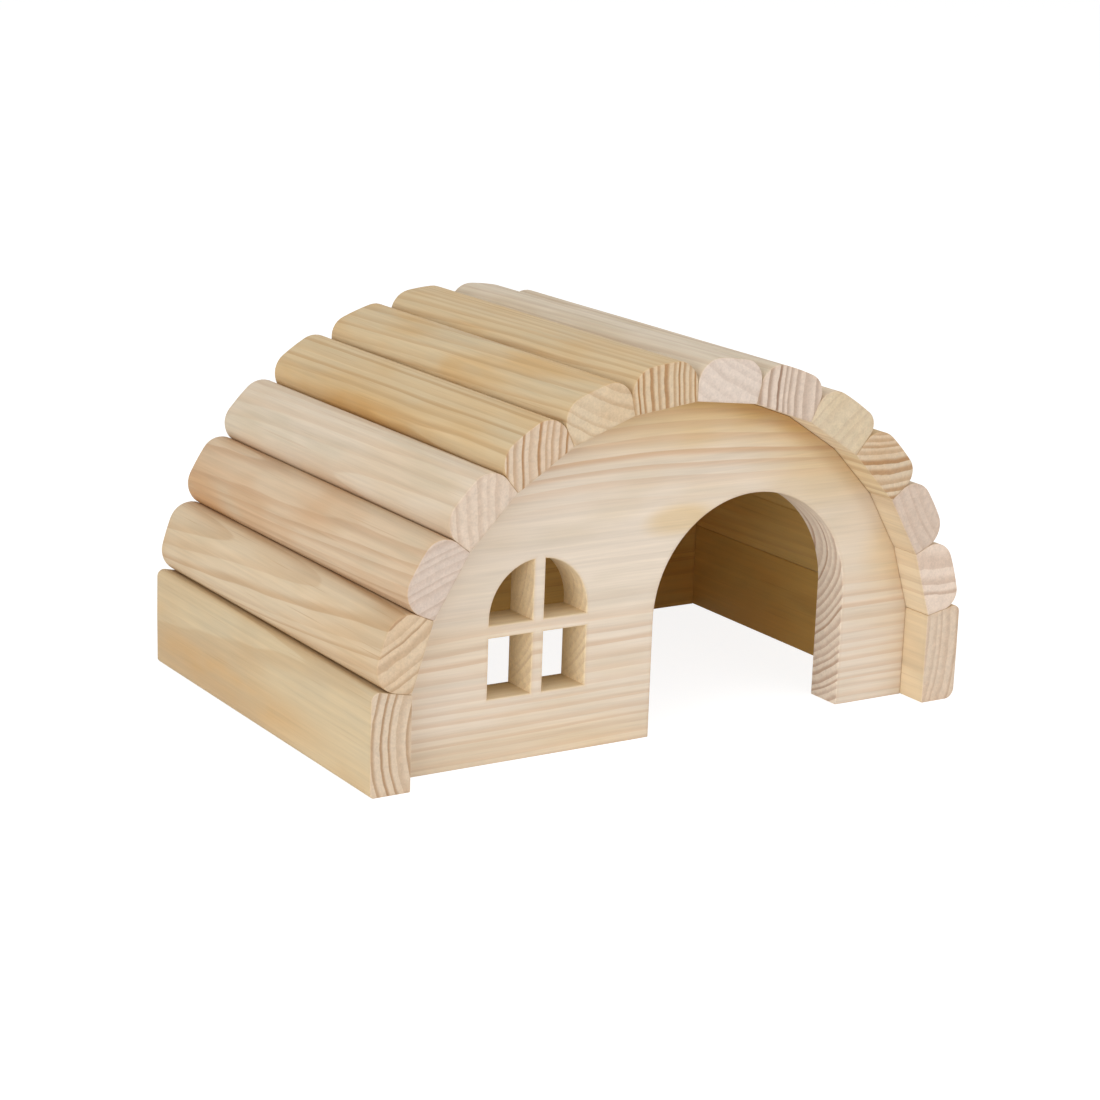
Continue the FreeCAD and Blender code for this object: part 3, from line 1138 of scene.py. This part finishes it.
@dataclass
class Wall:
    """An upright board with its level grain, its arched edge and its openings."""

    arch: Arch
    front_y: float
    sanded_edge: float = 0.35
    margin: float = 0.6
    edge_steps: int = 5
    taper: float = 5.0          # from an opening's rounder edge to the plain lower edge

    def blank(self, opening: Sequence[Point] = (), radius: float = 0.0) -> Outline:
        """The outline of the board.

        Args:
            opening: The points of an opening in the lower edge, from left to right.
            radius: The sanded radius of that opening's edges.

        Returns:
            The outline.
        """
        arch = self.arch
        lean = arch.lean(arch.slats - 1)
        reach = arch.inner_distance - arch.wall_half_width * math.sin(lean)
        shoulder = arch.centre_z + reach / math.cos(lean)
        crest = arch.inner_distance / math.cos(arch.slat_angle / 2)
        top = [arch.point(crest, arch.half_angle - i * arch.slat_angle)
               for i in range(1, arch.slats)]
        half = arch.wall_half_width
        foot = [(-half, 0.0)]
        if opening:
            foot.append((opening[0][0] - self.taper, 0.0))
            top = [(opening[-1][0] + self.taper, 0.0), (half, 0.0), (half, shoulder)] + top
        else:
            top = [(half, 0.0), (half, shoulder)] + top
        top.append((-half, shoulder))
        radii = ([self.sanded_edge] * len(foot) + [radius] * len(opening)
                 + [self.sanded_edge] * len(top))
        return Outline((*foot, *opening, *top), tuple(radii))

    def mesh(self, name: str, outlines: Sequence[Outline]) -> bpy.types.Mesh:
        """Makes the board.

        Each outline becomes a band of rings: a margin on the front face, the sanded front
        edge, the straight side, the sanded back edge and a margin on the back face.

        Args:
            name: The mesh's name.
            outlines: The board's outline, then its holes.

        Returns:
            The closed mesh.
        """
        turns = [i * math.pi / 2 / (self.edge_steps - 1) for i in range(self.edge_steps)]
        front = [(0.0, self.margin, 0.0, False)] + [(turn, 0.0, 1.0, False) for turn in turns]
        rings = front + [(*ring[:3], True) for ring in front[::-1]]
        points: list[tuple[float, float, float]] = []
        edges: list[float] = []
        browned_and_shaded: list[float] = []
        faces: list[tuple[int, ...]] = []
        rims: tuple[list[list[int]], list[list[int]]] = ([], [])
        for outline in outlines:
            count = len(outline.points)
            start = len(points)
            for turn, margin, edge, behind in rings:
                draws = [radius * (1 - math.sin(turn)) + margin for radius in outline.radii]
                moved = drawn_in(outline.points, draws)
                for (x, z), radius in zip(moved, outline.radii):
                    depth = radius * (1 - math.cos(turn))
                    y = self.front_y + (self.arch.wall_thickness - depth if behind else depth)
                    points.append((mm(x), mm(y), mm(z)))
                edges += [edge] * count
                # painted shade: an opening's sides browner at the back (1.0) than at the front
                # (0.7)
                browned_and_shaded += [outline.scorch * math.sin(turn) * (1.0 if behind else 0.7)] * count
            for r in range(len(rings) - 1):
                for i in range(count):
                    a = start + r * count + i
                    b = start + r * count + (i + 1) % count
                    faces.append((a, a + count, b + count, b))
            rims[0].append([start + i for i in range(count)])
            rims[1].append([start + (len(rings) - 1) * count + i for i in range(count)])
        for rim, flip in zip(rims, (False, True)):
            faces += self.flat(points, rim, flip)
        mesh = bpy.data.meshes.new(name)
        mesh.from_pydata(points, [], faces)
        for mark, values in ((EDGE, edges), (SCORCH_AND_SHADE, browned_and_shaded)):
            mesh.attributes.new(mark, "FLOAT", "POINT").data.foreach_set("value", values)
        mesh.validate()
        mesh.update()
        smooth(mesh)
        return mesh

    def flat(self, points: Sequence[tuple[float, float, float]], rim: Sequence[Sequence[int]],
             flip: bool) -> list[tuple[int, ...]]:
        """Fills one face of the board with triangles, and leaves its openings free.

        Args:
            points: The board's points.
            rim: The points' numbers around the board, then around each hole.
            flip: Whether the face looks along +Y.

        Returns:
            The triangles, facing outwards.
        """
        order = [i for loop in rim for i in loop]
        places = [Vector((points[i][0], points[i][2])) for i in order]
        sides = []
        start = 0
        for loop in rim:
            sides += [(start + i, start + (i + 1) % len(loop)) for i in range(len(loop))]
            start += len(loop)
        corners, _, triangles, origins, _, _ = delaunay_2d_cdt(places, sides, [], 0, 1e-9)
        faces = []
        for triangle in triangles:
            middle = sum((corners[i] for i in triangle), Vector((0.0, 0.0))) / 3.0
            crossings = sum(
                (places[a].y > middle.y) != (places[b].y > middle.y)
                and middle.x < places[a].x + (middle.y - places[a].y)
                * (places[b].x - places[a].x) / (places[b].y - places[a].y)
                for a, b in sides)
            if crossings % 2:
                a, b, c = [order[origins[i][0]] for i in triangle]
                faces.append((a, c, b) if flip else (a, b, c))
        return faces

    def dress(self, node: str, mesh: bpy.types.Mesh, finish: PineFinish) -> bpy.types.Object:
        """Makes the board's mesh an object in its finish, in the place of its solid."""
        mesh.materials.append(finish.material())
        return settle(put_in_scene(node + "_board", mesh), node)


@dataclass
class FrontWall(Wall):
    """The wall with the doorway, open to the floor, and the window of four panes."""

    door_x: float = 27.8
    door_width: float = 64.1
    door_height: float = 65.0
    window_x: float = -40.6
    window_width: float = 29.8
    window_sill: float = 17.8
    window_height: float = 36.4
    window_bar: float = 3.5
    door_edge: float = 0.5
    pane_edge: float = 0.5
    head_sides: int = 48        # of the doorway's round head
    pane_sides: int = 14        # of a pane's quarter of the window's round head

    def door(self) -> list[Point]:
        """The doorway's sides and round head.

        Returns:
            The points, from its left foot to its right foot.
        """
        radius = self.door_width / 2
        spring = self.door_height - radius
        turns = [math.pi * i / self.head_sides for i in range(self.head_sides + 1)]
        head = [(self.door_x - radius * math.cos(turn), spring + radius * math.sin(turn))
                for turn in turns]
        return [(self.door_x - radius, 0.0)] + head + [(self.door_x + radius, 0.0)]

    def panes(self) -> list[Outline]:
        """The four panes of the window, their sides left brown by the saw, with painted shade at
        the back.

        Returns:
            The panes' outlines.
        """
        radius = self.window_width / 2
        bar = self.window_bar / 2
        middle = self.window_sill + self.window_height / 2
        spring = self.window_sill + self.window_height - radius
        start = math.acos(bar / radius)
        turns = [start * i / self.pane_sides for i in range(self.pane_sides + 1)]
        arc = [(radius * math.cos(turn), spring + radius * math.sin(turn)) for turn in turns]
        upper = [(bar, middle + bar), (radius, middle + bar)] + arc
        lower = [(bar, self.window_sill), (radius, self.window_sill),
                 (radius, middle - bar), (bar, middle - bar)]
        panes = []
        for shape in (upper, lower):
            panes.append([(self.window_x + x, z) for x, z in shape][::-1])
            panes.append([(self.window_x - x, z) for x, z in shape])
        return [Outline(tuple(pane), (self.pane_edge,) * len(pane), 1.0) for pane in panes]

    def build(self) -> bpy.types.Object:
        """Makes and dresses the wall.

        Returns:
            The wall.
        """
        patches = (WarmPatch(58, 84, 34, 0.7, 1.3), WarmPatch(0, 100, 28, 0.9, 3.0),
                   WarmPatch(80, 44, 20, 0.5, 1.0), WarmPatch(4.5, 60.5, 6.0, 0.6, 2.4),
                   WarmPatch(-40, 0, 14, 0.30, 5.0))
        wood = Wood(Tone.WHITE, 2.15, 0.76, 0.76, 1.0, "fff0dd", late_share=0.12,
                    tilt=(0.0, 0.0), bow=1.6, calm=22.0, foot_share=0.62, clouds=0.2,
                    cool=0.16, flecks=0.0, patches=patches,
                    seam=PaintedSeamShade(self.arch.centre_z, self.arch.inner_distance))
        finish = PineFinish("pine_front_wall", wood, Grain.ALONG_X, pith=(-21.0, 54.0),
                            seed=5.0, inner=(0.0, 1.0, 0.0))
        outlines = [self.blank(self.door(), self.door_edge)] + self.panes()
        return self.dress("front_wall", self.mesh("front_wall_board", outlines), finish)


@dataclass
class BackWall(Wall):
    """The plain wall at the back."""

    def build(self) -> bpy.types.Object:
        """Makes and dresses the wall.

        Returns:
            The wall.
        """
        wood = Wood(Tone.STRAW, 2.6, 0.5, 0.9, 0.4, tilt=(0.0, 0.0), bow=-0.3, wander=2.5,
                    flecks=0.35)
        finish = PineFinish("pine_back_wall", wood, Grain.ALONG_X, pith=(82.0, 40.0), seed=9.0,
                            inner=(0.0, -1.0, 0.0))
        return self.dress("back_wall", self.mesh("back_wall_board", [self.blank()]), finish)


# --------------------------------------------------------------------------- dowels and house


@dataclass
class Dowels:
    """The two sets of blind dowels, which keep their own solids."""

    nodes: tuple[str, ...] = ("front_dowels", "back_dowels")

    def build(self) -> list[bpy.types.Object]:
        """Dresses the dowels.

        Returns:
            The dressed solids.
        """
        material = BeechFinish().material()
        pieces = [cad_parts[name] for name in self.nodes]
        for piece in pieces:
            piece.data.materials.clear()
            piece.data.materials.append(material)
        return pieces


def settle(piece: bpy.types.Object, node: str) -> bpy.types.Object:
    """Puts a finished piece in the place of its solid.

    Args:
        piece: The piece.
        node: The solid it stands for.

    Returns:
        The piece.
    """
    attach(piece, "root")
    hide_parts(node)
    return piece


# --------------------------------------------------------------------------- studio


@dataclass(frozen=True)
class Lamp:
    """A soft lamp that faces the house. Degrees and metres."""

    name: str
    azimuth: float              # 0 in front of the house, positive to the right
    elevation: float
    size: Point                 # its width and height
    level: float                # the share of plain light it gives to a surface that faces it
    distance: float = 1.5

    def hang(self) -> bpy.types.Object:
        """Hangs the lamp.

        Returns:
            The lamp.
        """
        back = bearing(self.azimuth, self.elevation)
        data = bpy.data.lights.new(self.name, "AREA")
        data.shape = "RECTANGLE"
        data.size, data.size_y = self.size
        data.energy = math.pi ** 2 * self.distance ** 2 * self.level
        lamp = put_in_scene(self.name, data)
        lamp.rotation_euler = back.to_track_quat("Z", "Y").to_euler()
        lamp.location = Vector((0.0, 0.0, 0.05)) + back * self.distance
        return lamp


@dataclass
class Studio:
    """The pale floor, the soft light and the camera. Metres and degrees."""

    yaw: float = -32.463
    pitch: float = 14.676
    roll: float = 1.997
    distance: float = 0.764561
    target: tuple[float, float, float] = (-0.002608, 0.0, 0.03895)
    focal_share: float = 2687.317 / 1100.0  # focal length over the width of the frame
    floor_reach: float = 3.0
    sky: float = 0.34
    lamps: tuple[Lamp, ...] = (
        Lamp("low_lamp", -60.0, 9.0, (1.4, 0.45), 0.34),
        Lamp("high_lamp", -75.0, 50.0, (1.0, 1.0), 0.26),
        Lamp("front_lamp", 15.0, 22.0, (1.0, 1.0), 0.20),
        Lamp("right_lamp", 60.0, 50.0, (1.0, 1.0), 0.22),
    )

    def build(self) -> None:
        """Sets up everything around the house."""
        self.camera()
        self.floor()
        self.world()
        for lamp in self.lamps:
            lamp.hang()
        bpy.context.scene.view_settings.view_transform = "Standard"

    def camera(self) -> bpy.types.Object:
        """Sets up the camera.

        Returns:
            The camera.
        """
        back = bearing(self.yaw, self.pitch)
        yaw, roll = math.radians(self.yaw), math.radians(self.roll)
        level = Vector((math.cos(yaw), math.sin(yaw), 0.0))
        upright = back.cross(level)
        right = level * math.cos(roll) + upright * math.sin(roll)
        up = upright * math.cos(roll) - level * math.sin(roll)
        data = bpy.data.cameras.new("camera")
        data.sensor_fit = "HORIZONTAL"
        data.sensor_width = 36.0
        data.lens = self.focal_share * data.sensor_width
        data.clip_start = 0.01
        camera = put_in_scene("camera", data)
        place = Vector(self.target) + back * self.distance
        camera.matrix_world = Matrix.Translation(place) @ Matrix(
            (right, up, back)).transposed().to_4x4()
        bpy.context.scene.camera = camera
        return camera

    def floor(self) -> bpy.types.Object:
        """Lays the pale floor, which the camera sees as white outside the house's shadow.

        Returns:
            The floor.
        """
        reach = self.floor_reach
        mesh = bpy.data.meshes.new("floor")
        mesh.from_pydata([(-reach, -reach, 0.0), (reach, -reach, 0.0), (reach, reach, 0.0),
                          (-reach, reach, 0.0)], [], [(0, 1, 2, 3)])
        material, sheet = new_material("pale_floor")
        mottle = sheet.noise(sheet.place(4.0))
        plain = sheet.add("ShaderNodeBsdfDiffuse", None,
                          {"Color": sheet.blend(mottle, (0.89, 0.89, 0.89), (0.91, 0.91, 0.91))})
        shade = sheet.add("ShaderNodeBsdfDiffuse", None, {"Color": (0.35, 0.35, 0.35, 1.0)})
        glow = sheet.add("ShaderNodeEmission", None,
                         {"Color": (1.0, 1.0, 1.0, 1.0), "Strength": 0.88})
        white = sheet.add("ShaderNodeAddShader", None, {0: shade, 1: glow})
        surface = sheet.add("ShaderNodeMixShader", None, {0: self.seen(sheet), 1: plain, 2: white})
        sheet.add("ShaderNodeOutputMaterial", None, {"Surface": surface})
        mesh.materials.append(material)
        floor = put_in_scene("floor", mesh)
        return floor

    def world(self) -> bpy.types.World:
        """Makes the even light of the room, white where the camera sees it.

        Returns:
            The world.
        """
        world = bpy.data.worlds.new("room")
        world.use_nodes = True
        sheet = Sheet(world.node_tree)
        strength = self.sky + self.seen(sheet) * (1.0 - self.sky)
        light = sheet.add("ShaderNodeBackground", None,
                          {"Color": (1.0, 1.0, 1.0, 1.0), "Strength": strength})
        sheet.add("ShaderNodeOutputWorld", None, {"Surface": light})
        bpy.context.scene.world = world
        return world

    def seen(self, sheet: Sheet) -> Value:
        """What the camera sees.

        Args:
            sheet: The sheet to write on.

        Returns:
            1 for what it sees straight, in gloss or through glass, and 0 for the rest.
        """
        path = sheet.add("ShaderNodeLightPath", output="Is Camera Ray")
        return sheet.clamp(
            path + path.output("Is Glossy Ray") + path.output("Is Transmission Ray"), 0.0, 1.0)


def main() -> None:
    """Builds the studio and the house, piece by piece."""
    arch = Arch()
    cutter = SlatTree()
    Studio().build()
    LOG.info("studio ready")
    pieces = [FrontWall(arch, arch.front_wall_y).build(), BackWall(arch, arch.back_wall_y).build()]
    pieces += RoofSlats(arch, cutter).build()
    pieces += BaseSlats(arch, cutter).build()
    pieces += Dowels().build()
    for piece in pieces:
        LOG.info("%s: %d faces", piece.name, len(piece.data.polygons))


if __name__ == "__main__":
    main()
